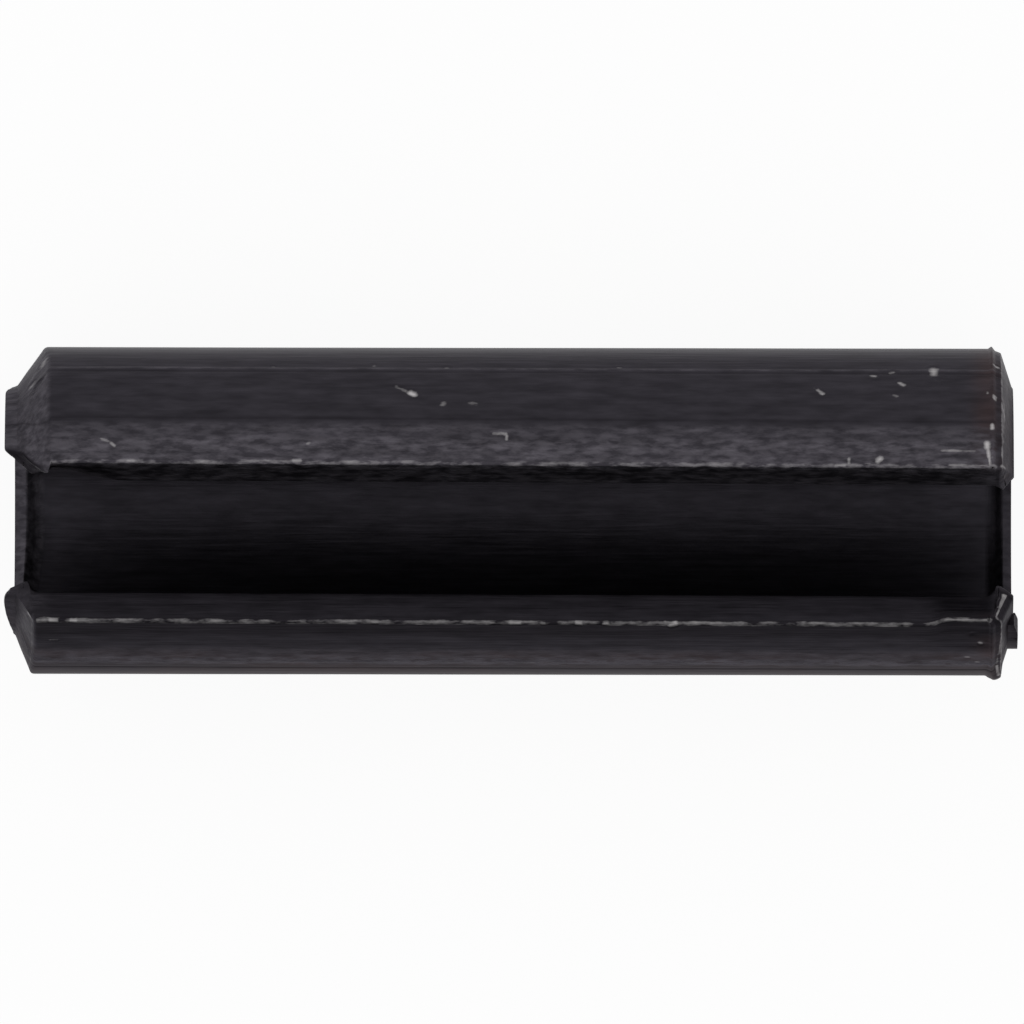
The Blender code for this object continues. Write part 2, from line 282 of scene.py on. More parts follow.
# Dents and scratches of each lip's side, in millimetres on the unrolled strip: place along
# the pin, distance from the lip's edge, length, turn in degrees, half width, depth, bareness
Mark = namedtuple("Mark", "side x across length turn width depth bare")
LEFT_MARKS = (
    (-1.57, 1.31, 0.16, -33, 0.055, 0.006, 0.56),
    (-1.41, 1.21, 0.05, -33, 0.064, 0.014, 1.05),
    (-0.21, 0.51, 0.15, 0, 0.036, 0.006, 0.62),
    (-0.11, 0.50, 0.02, 0, 0.040, 0.004, 0.70),
    (-0.09, 0.45, 0.06, 90, 0.036, 0.006, 0.80),
    (4.29, 1.29, 0.10, -50, 0.044, 0.010, 0.75),
    (4.21, 1.36, 0.03, -50, 0.040, 0.004, 0.42),
    (5.04, 1.66, 0.03, -20, 0.060, 0.008, 0.64),
    (5.29, 1.74, 0.05, 20, 0.058, 0.008, 0.70),
    (5.43, 1.46, 0.07, -45, 0.050, 0.010, 0.80),
    (5.34, 1.22, 0.06, -30, 0.050, 0.005, 0.50),
    (5.88, 1.77, 0.12, 90, 0.085, 0.010, 0.80),
    (5.93, 1.58, 0.06, -20, 0.040, 0.008, 0.10),
    (-0.98, 1.02, 0.05, 60, 0.080, 0.003, 0.48),
    (-0.56, 1.02, 0.10, -10, 0.075, 0.003, 0.50),
    (-0.93, 1.82, 0.03, 0, 0.060, 0.004, 0.52),
    (-1.95, 1.88, 0.04, 80, 0.060, 0.003, 0.48),
    (1.49, 1.84, 0.05, 0, 0.040, 0.004, 0.50),
    (-3.36, 1.84, 0.04, 0, 0.040, 0.004, 0.48),
    (-5.70, 0.37, 0.10, -20, 0.044, 0.005, 0.60),
    (-5.59, 0.30, 0.07, -50, 0.040, 0.006, 0.75),
    (-5.33, 0.03, 0.10, 0, 0.040, 0.008, 0.62),
    (-5.17, 0.05, 0.03, 0, 0.036, 0.006, 0.52),
    (-3.44, 0.04, 0.05, 0, 0.038, 0.006, 0.55),
    (-3.02, 0.05, 0.10, 0, 0.044, 0.008, 0.75),
    (-2.86, 0.34, 0.03, 40, 0.044, 0.006, 0.58),
    (4.57, 0.03, 0.12, 0, 0.036, 0.008, 0.72),
    (4.69, 0.10, 0.06, 90, 0.036, 0.006, 0.78),
    (4.95, 0.05, 0.05, 0, 0.036, 0.005, 0.55),
    (5.11, 0.12, 0.05, 50, 0.060, 0.010, 0.92),
    (6.22, 0.27, 0.46, 0, 0.040, -0.006, 0.58),
    (6.36, 0.04, 0.52, 0, 0.030, 0.002, 0.60),
    (6.62, 0.36, 0.05, 95, 0.052, 0.006, 1.05),
    (6.635, 0.26, 0.16, 95, 0.034, 0.003, 0.90),
    (6.65, 0.14, 0.20, 97, 0.022, 0.003, 0.85),
    (6.76, 1.98, 0.03, 0, 0.050, 0.004, 0.85),
    (6.73, 1.19, 0.05, 90, 0.040, 0.004, 0.85),
    (6.63, 1.29, 0.03, 90, 0.036, 0.004, 0.55),
    (6.69, 0.66, 0.05, 90, 0.040, 0.004, 0.90),
    (6.84, 0.06, 0.03, 0, 0.040, 0.000, 0.75),
    (-6.66, 2.14, 0.10, 80, 0.070, 0.006, 0.62),
    (-6.78, 1.82, 0.06, 80, 0.060, 0.006, 0.58),
    (-6.72, 1.62, 0.10, 60, 0.050, 0.020, 0.00),
)
RIGHT_MARKS = (
    (-6.70, 0.08, 0.02, 0, 0.036, 0.002, 0.95),
    (-6.42, 0.02, 0.10, 0, 0.038, 0.006, 0.85),
    (-6.14, 0.02, 0.08, 0, 0.034, 0.005, 0.85),
    (-6.00, 0.02, 0.16, 0, 0.032, 0.004, 0.58),
    (-5.54, 0.02, 0.08, 0, 0.032, 0.005, 0.55),
    (-4.60, 0.02, 0.12, 0, 0.032, 0.005, 0.52),
    (-3.31, 0.02, 0.10, 0, 0.034, 0.005, 0.55),
    (-2.93, 0.02, 0.05, 0, 0.034, 0.006, 0.60),
    (-1.93, 0.02, 0.08, 0, 0.034, 0.005, 0.58),
    (-0.29, 0.02, 0.06, 0, 0.034, 0.006, 0.62),
    (0.03, 0.02, 0.14, 0, 0.036, 0.006, 0.75),
    (0.42, 0.02, 0.05, 0, 0.034, 0.006, 0.66),
    (0.92, 0.02, 0.06, 0, 0.040, 0.006, 0.80),
    (1.30, 0.02, 0.05, 0, 0.040, 0.006, 0.80),
    (2.15, -0.02, 0.06, -30, 0.036, 0.006, 0.60),
    (2.24, 0.04, 0.07, -20, 0.052, 0.010, 1.00),
    (4.02, -0.03, 0.07, 10, 0.040, 0.006, 0.80),
    (6.34, 0.02, 0.60, 0, 0.026, 0.000, 0.72),
    (6.54, 0.50, 0.02, 20, 0.045, 0.005, 0.62),
    (6.42, 0.30, 0.02, -30, 0.036, 0.005, 0.48),
    (6.36, 0.85, 0.03, 0, 0.045, 0.005, 0.58),
    (6.50, 1.01, 0.03, 30, 0.045, 0.005, 0.60),
    (-6.42, 0.49, 0.12, 0, 0.032, 0.003, 0.50),
    (6.80, 0.80, 0.70, 95.5, 0.026, 0.003, 0.62),
    (6.79, 1.40, 0.36, 85, 0.030, 0.003, 0.85),
)
MARKS = [Mark(1, *row) for row in LEFT_MARKS] + [Mark(-1, *row) for row in RIGHT_MARKS]


def linear(hex_colour):
    """Turn an sRGB hex colour into linear red, green and blue."""
    values = [int(hex_colour[i : i + 2], 16) / 255 for i in (1, 3, 5)]
    return tuple(v / 12.92 if v <= 0.04045 else ((v + 0.055) / 1.055) ** 2.4 for v in values)


def length_property(name, description, default, minimum, precision=5):
    """Length that the panel shows, in metres."""
    return FloatProperty(
        name=name,
        description=description,
        default=default,
        min=minimum,
        unit="LENGTH",
        precision=precision,
    )


def colour_property(name, description, hex_colour):
    """Colour that the panel shows, given as sRGB hex."""
    return FloatVectorProperty(
        name=name,
        description=description,
        default=linear(hex_colour),
        size=3,
        min=0,
        max=1,
        subtype="COLOR",
    )


class PinSizes(bpy.types.PropertyGroup):
    """Sizes of the rolled strip."""

    length: length_property(
        "Length", "Distance between the rims of the two ends", FRAME_LENGTH, 2 * MM
    )
    outer_diameter: length_property(
        "Free diameter",
        "Outside diameter before the pin is driven into its hole",
        4.58 * MM,
        1 * MM,
    )
    wall: length_property("Wall", "Thickness of the strip", 0.50 * MM, 0.1 * MM)
    slot_width: length_property("Slot width", "Gap between the two lips", 2.26 * MM, 0.1 * MM)
    lip_flat: length_property(
        "Lip flat",
        "Width of the straight strip beside the slot that rolling leaves unbent",
        0.64 * MM,
        0.1 * MM,
    )
    lip_edge: length_property(
        "Lip edge", "Radius of the worn edges of the lips", 0.035 * MM, 0.005 * MM, precision=6
    )
    lead_length: length_property(
        "Lead chamfer length",
        "Length of the long chamfer on the end that enters the hole first",
        0.40 * MM,
        0.1 * MM,
    )
    lead_depth: length_property(
        "Lead chamfer depth",
        "Drop of the long chamfer from the outside to its rim",
        0.54 * MM,
        0.1 * MM,
    )
    blunt_length: length_property(
        "Blunt chamfer length", "Length of the short chamfer on the other end", 0.17 * MM, 0.05 * MM
    )
    blunt_depth: length_property(
        "Blunt chamfer depth",
        "Drop of the short chamfer from the outside to its rim",
        0.53 * MM,
        0.1 * MM,
    )

    @property
    def outer_radius(self):
        return self.outer_diameter / 2

    @property
    def bore_radius(self):
        return self.outer_radius - self.wall

    @property
    def lead_x(self):
        return -self.length / 2

    @property
    def blunt_x(self):
        return self.length / 2

    @property
    def burr_x(self):
        return self.blunt_x - self.blunt_length - SHELF_LENGTH

    @property
    def lead_tip(self):
        return self.outer_radius - self.lead_depth

    @property
    def blunt_tip(self):
        return self.outer_radius - self.blunt_depth

    @property
    def flat_angle(self):
        """Angle from the middle of the slot to where the round wall ends."""
        lip_distance = math.hypot(self.outer_radius, self.lip_flat)
        slot_half = math.asin(self.slot_width / 2 / lip_distance)
        return math.atan(self.lip_flat / self.outer_radius) + slot_half

    @property
    def axis_height(self):
        """Height of the pin's axis when it rests on a narrow flat."""
        return math.sqrt(self.outer_radius**2 - (REST_FLAT / 2) ** 2)


class PinFinish(bpy.types.PropertyGroup):
    """Colours and relief of the blackened steel, and the colours that paint shade, highlights and a
    reflection on it.
    """

    oxide_colour: colour_property("Black oxide", "Colour of the blackened wall", "#302e33")
    # This paler colour also paints a highlight on a ridge and a reflection of the floor low on the
    # right side
    scale_and_sheen_colour: colour_property(
        "Rough oxide", "Colour of the rough oxide on the lips and the cones", "#524f55"
    )
    # Painted shade: this darker colour stands in for shade on the right lip's flat, the slot faces,
    # the tab's end and beside the creases, and darkens the cones
    shade_and_dark_oxide_colour: colour_property(
        "Smooth oxide",
        "Colour of the smooth dark oxide on the right lip and in the slot",
        "#201e22",
    )
    tempered_colour: colour_property(
        "Tempered brown", "Warm tint where the oxide is thin", "#3a3031"
    )
    # The steel colour also paints a reflection of the floor low on the right side and a highlight
    # on the lead shoulder
    steel_and_highlight_colour: colour_property(
        "Bare steel", "Colour of the steel where the oxide has worn through", "#b4b1b2"
    )
    relief: length_property(
        "Relief",
        "Depth of the drawing lines and the grain in the finish",
        0.006 * MM,
        0,
        precision=6,
    )


class StageSettings(bpy.types.PropertyGroup):
    """The floor, the lamp and the camera."""

    floor_colour: colour_property("Floor", "Colour of the floor", "#f4f4f4")
    frame_width: length_property(
        "Frame width", "Width that the camera takes in at the pin", 14.35 * MM, 5 * MM
    )
    camera_lean: FloatProperty(
        name="Camera lean",
        description="Angle of the camera from straight above, towards the left lip",
        default=math.radians(12.55),
        subtype="ANGLE",
    )
    lamp_power: FloatProperty(
        name="Lamp power",
        description="Power of the large soft lamp",
        default=0.02,
        min=0,
        subtype="POWER",
        precision=4,
    )


def smooth_step(value, start, end):
    """Rise smoothly from 0 at start to 1 at end."""
    share = min(max((value - start) / (end - start), 0.0), 1.0)
    return share * share * (3.0 - 2.0 * share)


def along_lip(sizes, side):
    """Direction in which a lip's flat runs towards the slot; side is 1 for left, -1 for right."""
    angle = sizes.flat_angle
    return Vector((0, -side * math.cos(angle), math.sin(angle)))


def section_corners(sizes):
    """Corners of the wall's section in X and radius: along the outside, then back in the bore."""
    lead = sizes.lead_x
    blunt = sizes.blunt_x
    outer = sizes.outer_radius
    burr = sizes.burr_x
    shelf = Vector((burr + SHELF_LENGTH, outer - SHELF_DROP))
    tip = Vector((blunt - BLUNT_LAND, sizes.blunt_tip))
    tab = tip.lerp(shelf, TAB_HEIGHT / (shelf.y - tip.y))
    return [
        Corner(lead, sizes.lead_tip - RIM_EDGE, EDGE_BEND),
        Corner(lead + LEAD_LAND, sizes.lead_tip, EDGE_BEND),
        Corner(lead + sizes.lead_length, outer, LEAD_SHOULDER),
        Corner(burr - BURR_WIDTH, outer, EDGE_BEND),
        Corner(burr - BURR_WIDTH / 2, outer + BURR_HEIGHT, EDGE_BEND),
        Corner(burr, outer - SHELF_DROP / 2, EDGE_BEND),
        Corner(shelf.x, shelf.y, SHELF_LENGTH / 3),
        Corner(tab.x, tab.y, 0),
        Corner(tip.x, tip.y, EDGE_BEND),
        Corner(blunt, sizes.blunt_tip - RIM_EDGE, EDGE_BEND),
        Corner(blunt, sizes.blunt_tip - RIM_EDGE - RIM_WIDTH, EDGE_BEND),
        Corner(blunt - BLUNT_RIDGE, sizes.blunt_tip - TIP_WALL, RIDGE_RADIUS),
        Corner(blunt - BLUNT_BEND, sizes.bore_radius, BEND_RADIUS),
        Corner(lead + LEAD_BEND, sizes.bore_radius, BEND_RADIUS),
        Corner(lead + LEAD_RIDGE, sizes.lead_tip - TIP_WALL, RIDGE_RADIUS),
        Corner(lead, sizes.lead_tip - RIM_EDGE - RIM_WIDTH, EDGE_BEND),
    ]


def round_corner(mesh, vert, bend):
    """Round one corner of the wire to a bend radius."""
    first, second = [edge.other_vert(vert).co - vert.co for edge in vert.link_edges]
    reach = bend / math.tan(first.angle(second) / 2)
    bmesh.ops.bevel(
        mesh,
        geom=[vert],
        offset=min(reach, first.length * LONGEST_BEND, second.length * LONGEST_BEND),
        offset_type="OFFSET",
        segments=2 if bend == EDGE_BEND else 4,
        profile=0.5,
        affect="VERTICES",
        material=-1,
        clamp_overlap=False,
    )


def stations(sizes):
    """Places along the pin where rings are cut into its wall and its cones."""
    start = sizes.lead_x + sizes.lead_length + LEAD_SHOULDER * 2
    end = sizes.burr_x - BURR_MARGIN
    count = math.ceil((end - start) / STATION_PITCH)
    wall = [start + (end - start) * index / count for index in range(count + 1)]
    lead = [sizes.lead_x + sizes.lead_length * share for share in LEAD_RINGS]
    blunt = [sizes.blunt_x - sizes.blunt_length * share for share in BLUNT_RINGS]
    burr = [sizes.burr_x + BURR_WIDTH * share for share in BURR_RINGS]
    return lead + wall + blunt + burr


def draw_section(mesh, sizes):
    """Draw the wall's section as a face with round corners, and cut it into a grid."""
    corners = section_corners(sizes)
    verts = [mesh.verts.new((corner.x, 0, corner.radius)) for corner in corners]
    for start, end in zip(verts, verts[1:] + verts[:1]):
        mesh.edges.new((start, end))
    for vert, corner in zip(verts, corners):
        if corner.bend:
            round_corner(mesh, vert, corner.bend)
    bmesh.ops.contextual_create(mesh, geom=mesh.edges[:])
    for x in stations(sizes):
        cut_flat(mesh, (x, 0, 0), (1, 0, 0))
    for strip in range(1, SLOT_FACE_STRIPS):
        radius = sizes.outer_radius - sizes.wall * strip / SLOT_FACE_STRIPS
        cut_flat(mesh, (0, 0, radius), (0, 0, 1))


def cut_flat(mesh, place, square_to):
    """Cut the whole mesh with a plane."""
    geometry = mesh.verts[:] + mesh.edges[:] + mesh.faces[:]
    bmesh.ops.bisect_plane(mesh, geom=geometry, plane_co=place, plane_no=square_to)


def set_at_lip(mesh, sizes):
    """Turn the drawn section to the left lip's edge."""
    turn = Matrix.Rotation(-sizes.flat_angle, 3, "X")
    bmesh.ops.rotate(mesh, verts=mesh.verts, cent=(0, 0, 0), matrix=turn)
    reach = along_lip(sizes, 1) * (sizes.lip_flat - sizes.lip_edge)
    bmesh.ops.translate(mesh, verts=mesh.verts, vec=reach)
    bmesh.ops.reverse_faces(mesh, faces=mesh.faces)


def round_slot_face(mesh, sizes):
    """Push the slot face out of its edges in a quarter round."""
    faces = mesh.faces[:]
    for step in range(LIP_SEGMENTS):
        start = math.pi / 2 * step / LIP_SEGMENTS
        end = math.pi / 2 * (step + 1) / LIP_SEGMENTS
        bmesh.ops.inset_region(
            mesh,
            faces=faces,
            thickness=sizes.lip_edge * (math.cos(start) - math.cos(end)),
            depth=sizes.lip_edge * (math.sin(end) - math.sin(start)),
            use_boundary=True,
            use_even_offset=False,
        )


def extend_flat(mesh, edges, sizes):
    """Carry the wall on from the lip to the round, straight and in longer and longer steps."""
    away = -along_lip(sizes, 1)
    for stride in reversed(FLAT_STRIDES):
        grown = bmesh.ops.extrude_edge_only(mesh, edges=edges)["geom"]
        verts = [item for item in grown if isinstance(item, bmesh.types.BMVert)]
        edges = [item for item in grown if isinstance(item, bmesh.types.BMEdge)]
        length = (sizes.lip_flat - sizes.lip_edge) * stride / sum(FLAT_STRIDES)
        bmesh.ops.translate(mesh, verts=verts, vec=away * length)
    return edges


def roll_half(mesh, edges, sizes):
    """Sweep the wall round from the left lip's flat to the middle of the back."""
    start = math.degrees(sizes.flat_angle)
    for end, steps in ROLL_SECTORS:
        verts = list({vert for edge in edges for vert in edge.verts})
        swept = bmesh.ops.spin(
            mesh,
            geom=verts + edges,
            cent=(0, 0, 0),
            axis=(-1, 0, 0),
            angle=math.radians(end - start),
            steps=steps,
            use_duplicate=False,
        )
        edges = [item for item in swept["geom_last"] if isinstance(item, bmesh.types.BMEdge)]
        start = end


def whole_geometry(faces):
    """Faces with their own edges and verts."""
    edges = {edge for face in faces for edge in face.edges}
    verts = {vert for face in faces for vert in face.verts}
    return list(verts) + list(edges) + list(faces)


def on_tab(face, sizes):
    """Whether a face is on the blunt end's tip, where the tab of burr is drawn out."""
    centre = face.calc_center_median()
    radius = math.hypot(centre.y, centre.z)
    tip = sizes.blunt_tip
    on_tip = tip - RIM_EDGE - RIM_WIDTH < radius < tip + TAB_HEIGHT
    on_end = centre.x > sizes.blunt_x - sizes.blunt_length and face.normal.x > 0.1
    return on_tip and on_end and TAB_ARC[0] < math.atan2(-centre.y, centre.z) < TAB_ARC[1]


def raise_tab(mesh, sizes):
    """Draw a tab of burr out of the blunt end's tip, on the right lip."""
    faces = [face for face in mesh.faces if on_tab(face, sizes)]
    grown = bmesh.ops.extrude_face_region(mesh, geom=whole_geometry(faces))["geom"]
    for vert in [item for item in grown if isinstance(item, bmesh.types.BMVert)]:
        past_start = math.atan2(-vert.co.y, vert.co.z) - TAB_ARC[0]
        share = smooth_step(past_start, -TAB_RISE / 2, TAB_RISE)
        vert.co.x = sizes.blunt_x + TAB_LENGTH * share


def cone_drop(x, sizes):
    """How far the outside skin lies below the wall, on the cones at the ends."""
    inboard = x - sizes.lead_x
    if inboard < sizes.lead_length:
        left_on = max(inboard - LEAD_LAND, 0) / (sizes.lead_length - LEAD_LAND)
        return sizes.lead_depth * (1 - left_on)
    outboard = sizes.blunt_x - x
    if outboard < sizes.blunt_length:
        left_on = max(outboard - BLUNT_LAND, 0) / (sizes.blunt_length - BLUNT_LAND)
        return sizes.blunt_depth + (SHELF_DROP - sizes.blunt_depth) * left_on
    return 0


def find_place(point, sizes):
    """Place of a point on the unworn strip: side, and distance from the lip, wall and skin."""
    side = 1 if point.y > 0 else -1
    angle = abs(math.atan2(point.y, point.z))
    along = along_lip(sizes, side)
    reach = along.dot(point)
    drop = cone_drop(point.x, sizes)
    if reach > 0 and angle < math.pi / 2:
        outward = Vector((0, side * math.sin(sizes.flat_angle), math.cos(sizes.flat_angle)))
        depth = sizes.outer_radius - outward.dot(point)
        return Place(side, sizes.lip_flat - reach, depth, depth - drop, outward, along)
    outward = Vector((0, point.y, point.z)).normalized()
    across = sizes.lip_flat + (angle - sizes.flat_angle) * sizes.outer_radius
    depth = sizes.outer_radius - math.hypot(point.y, point.z)
    along = Vector((0, -outward.z * side, outward.y * side))
    return Place(side, across, depth, depth - drop, outward, along)


def round_lip_tip(vert, place, sizes):
    """Widen the round edge at a lip's tips, and set the right one back at the blunt end."""
    share = min(max((sizes.lip_edge - place.across) / sizes.lip_edge, 0), 1)
    lead_share = max(1 - (vert.co.x - sizes.lead_x) / sizes.lead_length, 0)
    blunt_share = max(1 - (sizes.blunt_x - vert.co.x) / sizes.blunt_length, 0)
    lead_round = RIGHT_TIP_ROUND if place.side < 0 else LIP_TIP_ROUND
    vert.co.x += share * (lead_round * lead_share - LIP_TIP_ROUND * blunt_share)
    if place.side < 0:
        start = sizes.burr_x - BACK_BEFORE_BURR
        end = sizes.burr_x + BACK_PAST_BURR
        back = RIGHT_BLUNT_BACK * smooth_step(vert.co.x, start, end)
        vert.co.x -= back * (1 - smooth_step(place.across, 0, BACK_WIDTH))


def break_lip_corner(vert, place, sizes):
    """Turn a lip's slot face back towards the end of the pin, where the tool has broken it."""
    lead_share = max(1 - (vert.co.x - sizes.lead_x) / LEAD_BREAK_REACH, 0)
    blunt_share = max(1 - (sizes.blunt_x - vert.co.x) / BLUNT_BREAK_REACH, 0)
    if place.side > 0:
        back = LEFT_BLUNT_BREAK * blunt_share
    else:
        back = RIGHT_BLUNT_BREAK * blunt_share + LEAD_BREAK * lead_share
    vert.co -= place.along * (back * (1 - smooth_step(place.across, 0, BREAK_WIDTH)))


def lip_angle(radius, sizes):
    """Angle from the middle of the slot to a lip's edge, on the wall at a radius."""
    return sizes.flat_angle - math.atan(sizes.lip_flat / radius)


def nose_length(angle, sizes):
    """How far a lip's nose stands past the lead end's rim, at an angle from the slot."""
    corner = lip_angle(sizes.lead_tip, sizes)
    spread = LEFT_NOSE_CORNER if angle > 0 else RIGHT_NOSE_CORNER
    rise = smooth_step(abs(angle), corner - spread / 2, corner + spread)
    if angle > 0:
        return LEFT_NOSE * rise * (1 - smooth_step(angle, *LEFT_NOSE_END))
    return RIGHT_NOSE * rise * (1 - smooth_step(-angle, *RIGHT_NOSE_END))


def shoulder_shift(angle):
    """How far the lead end's shoulder lies from square, at an angle from the slot."""
    degrees = abs(math.degrees(angle))
    if angle > 0:
        shift = LEFT_SHOULDER_SHIFT
        shift += (LEFT_SIDE_SHIFT - shift) * smooth_step(degrees, *LEFT_SHIFT_TURN)
    else:
        shift = RIGHT_SHOULDER_SHIFT
        shift += (RIGHT_SIDE_SHIFT - shift) * smooth_step(degrees, *RIGHT_SHIFT_TURN)
    return shift * (1 - smooth_step(degrees, *SHIFT_FADE))


def shape_lead_end(vert, angle, sizes):
    """Slant the shoulder, draw out the noses, and squeeze and wear the left lip's corner."""
    inboard = vert.co.x - sizes.lead_x
    if inboard > sizes.lead_length + LEAD_SHOULDER:
        return
    nose = nose_length(angle, sizes) * (1 - smooth_step(inboard, 0, LEAD_LAND))
    vert.co.x += shoulder_shift(angle) * min(inboard / sizes.lead_length, 1) - nose
    if 0 < angle < CORNER_ARC:
        on_cone = 1 - smooth_step(
            inboard, sizes.lead_length, sizes.lead_length + LEAD_SHOULDER / 2
        )
        moved = max(vert.co.x - sizes.lead_x, 0)
        shift = CORNER_FLARE * (moved - FLARE_START)
        shift -= CORNER_CUT * max(1 - moved / CORNER_REACH, 0) ** CORNER_CURVE
        share = 1 - smooth_step(angle, lip_angle(sizes.outer_radius, sizes), CORNER_ARC)
        turn = shift * on_cone * share / sizes.outer_radius
        vert.co = Matrix.Rotation(turn, 4, "X") @ vert.co


def undercut_corner(vert, place, angle, sizes):
    """Lean the left lip's slot face back under its squeezed-out corner."""
    inboard = vert.co.x - sizes.lead_x
    if 0 < angle < CORNER_ARC and inboard < UNDERCUT_LENGTH:
        shift = CORNER_UNDERCUT * smooth_step(place.depth, sizes.wall * UNDERCUT_START, sizes.wall)
        shift *= 1 - smooth_step(inboard, sizes.lead_length, UNDERCUT_LENGTH)
        share = 1 - smooth_step(angle, lip_angle(sizes.outer_radius, sizes), CORNER_ARC)
        vert.co = Matrix.Rotation(-shift * share / sizes.outer_radius, 4, "X") @ vert.co


def fade_burr(vert, place, angle, sizes):
    """Make the ring of burr ragged, and fade it to nothing where the pin rests."""
    if place.depth < 0 and vert.co.x > sizes.burr_x - BURR_WIDTH:
        ragged = BURR_KEPT + BURR_RAGGED * noise.noise(Vector((angle * BURR_WAVES, 2.3, 0)))
        keep = min(ragged, 1) * (1 - smooth_step(abs(angle), *BURR_FADE))
        vert.co += place.outward * (place.depth * (1 - keep))


def swell_bead(vert, place, angle, sizes):
    """Swell the burr into a rounded bead low on the right lip's side."""
    past_start = (vert.co.x - sizes.burr_x + BEAD_START) / BEAD_LENGTH
    if 0 < past_start < 1 and place.skin < BEAD_SKIN and place.depth < BEAD_DEPTH:
        share = band(angle, *BEAD_ARC)
        height = BEAD_HEIGHT * math.sin(math.pi * past_start)
        vert.co += place.outward * ((place.depth + height) * share)


def creep_lip(vert, place, sizes):
    """Push the right lip's outer edge a little into the slot, just before the blunt end."""
    if place.side < 0 and place.across < sizes.lip_flat:
        start = sizes.blunt_x - CREEP_LENGTH
        rise = smooth_step(vert.co.x, start, start + CREEP_RISE)
        share = (1 - place.across / sizes.lip_flat) * max(1 - place.depth / sizes.wall, 0)
        vert.co.y += CREEP * rise * min(share, 1)


def skew_slot(vert, angle, sizes):
    """Turn the lips round the pin's axis along its length, and leave the back straight."""
    share = 1 - smooth_step(abs(angle), *SKEW_FADE)
    turn = Matrix.Rotation(SLOT_SKEW * vert.co.x / sizes.length * share, 4, "X")
    vert.co = turn @ vert.co


def roughen(vert, place, sizes):
    """Give a point of the strip its waves and grain, and wear the lip's edge ragged."""
    x = vert.co.x / MM
    across = place.across / MM + 20 * place.side
    waves = noise.noise(Vector((x / WAVES[0], across / WAVES[1], 5)))
    grain = noise.noise(Vector((x / GRAIN[0], across / GRAIN[1], place.depth / MM)))
    lumps = noise.noise(Vector((x / CONE_LUMPS[0], across / CONE_LUMPS[1], 1)))
    on_cone = lead_cone_share(vert, sizes) * (1 - smooth_step(place.skin, 0, 0.1 * MM))
    rise = WAVE_HEIGHT * waves + GRAIN_HEIGHT * grain * left_lip_share(place)
    rise += CONE_LUMP_HEIGHT * lumps * on_cone
    vert.co += place.outward * (rise * MM)
    hollows = noise.noise(Vector((x / HOLLOW_LENGTH, place.side, 3)))
    nicks = noise.noise(Vector((x / NICK_LENGTH, place.side, 9)))
    ragged = HOLLOW_DEPTH * hollows**2 + NICK_DEPTH * abs(nicks)
    near_edge = 1 - smooth_step(place.across, 0, WEAR_WIDTH)
    vert.co -= place.along * (ragged * near_edge * MM)


def lead_cone_share(vert, sizes):
    """1 on the lead end's cone, falling to 0 behind its shoulder."""
    start, end = LEAD_CONE_END
    return 1 - smooth_step(vert.co.x, sizes.lead_x + start, sizes.lead_x + end)


def left_lip_share(place):
    """How rough the left lip's flat is: roughest in bands beside the slot, least at the wall."""
    if place.side < 0 or place.skin > SKIN_FADE[1]:
        return 0
    across = place.across / MM
    share = 1
    for fall, start, end in ROUGH_STEPS:
        share -= fall * smooth_step(across, start, end)
    for stripe in ROUGH_STRIPES:
        share += strength_in(stripe, across)
    return share


def find_spot(vert, place, angle, sizes):
    """How far a point lies on the outside skin, on a slot face and on either end's cone."""
    before, past = BLUNT_CONE_START
    return Spot(
        math.degrees(angle),
        1 - smooth_step(place.skin, *SKIN_FADE),
        smooth_step(place.depth, *FACE_FADE) * near_lip(place, FACE_REACH),
        lead_cone_share(vert, sizes),
        smooth_step(vert.co.x, sizes.burr_x - before, sizes.burr_x + past),
    )


def roughness_and_sheen_at(place, spot):
    """How rough the oxide is: on the left lip, on the cones and in bands along the wall, whose
    paler colour is a painted highlight on a ridge and a painted reflection of the floor low on the
    right side.
    """
    slot_face = 0.75 * spot.slot_face if place.side > 0 else 0
    cones = max(0.75 * spot.lead_cone, 0.5 * spot.blunt_cone)
    bands = max(strength_in(item, spot.degrees) for item in ROUGH_AND_SHEEN_BANDS) * spot.outside
    return max(left_lip_share(place), cones, bands, slot_face)


def shade_and_dark_oxide_at(vert, place, spot, sizes):
    """How dark the oxide is: painted shade on the right lip's flat, the slot faces, the tab's end
    and beside the creases, and darker oxide on the cones.
    """
    if place.side > 0:
        flat = 0
        start, end = SHADED_FACE_END
        face_shade = 1 - smooth_step(vert.co.x, sizes.lead_x + start, sizes.lead_x + end)
        slot_face = spot.slot_face * face_shade
    else:
        flat = 1 - smooth_step(place.across, *SHADED_FLAT_END)
        flat -= 0.6 * smooth_step(place.across, *LESS_SHADED_FLAT) * flat
        flat = max(flat * (1 - 0.6 * spot.lead_cone), 0.45 * spot.lead_cone)
        slot_face = spot.slot_face * 0.65
    bands = max(strength_in(item, spot.degrees) for item in CREASE_SHADE_BANDS)
    on_wall = max(flat, bands) * spot.outside
    on_tab_end = smooth_step(vert.co.x, sizes.blunt_x, sizes.blunt_x + TAB_END_FADE)
    return max(on_wall, slot_face, on_tab_end, 0.6 * spot.blunt_cone)


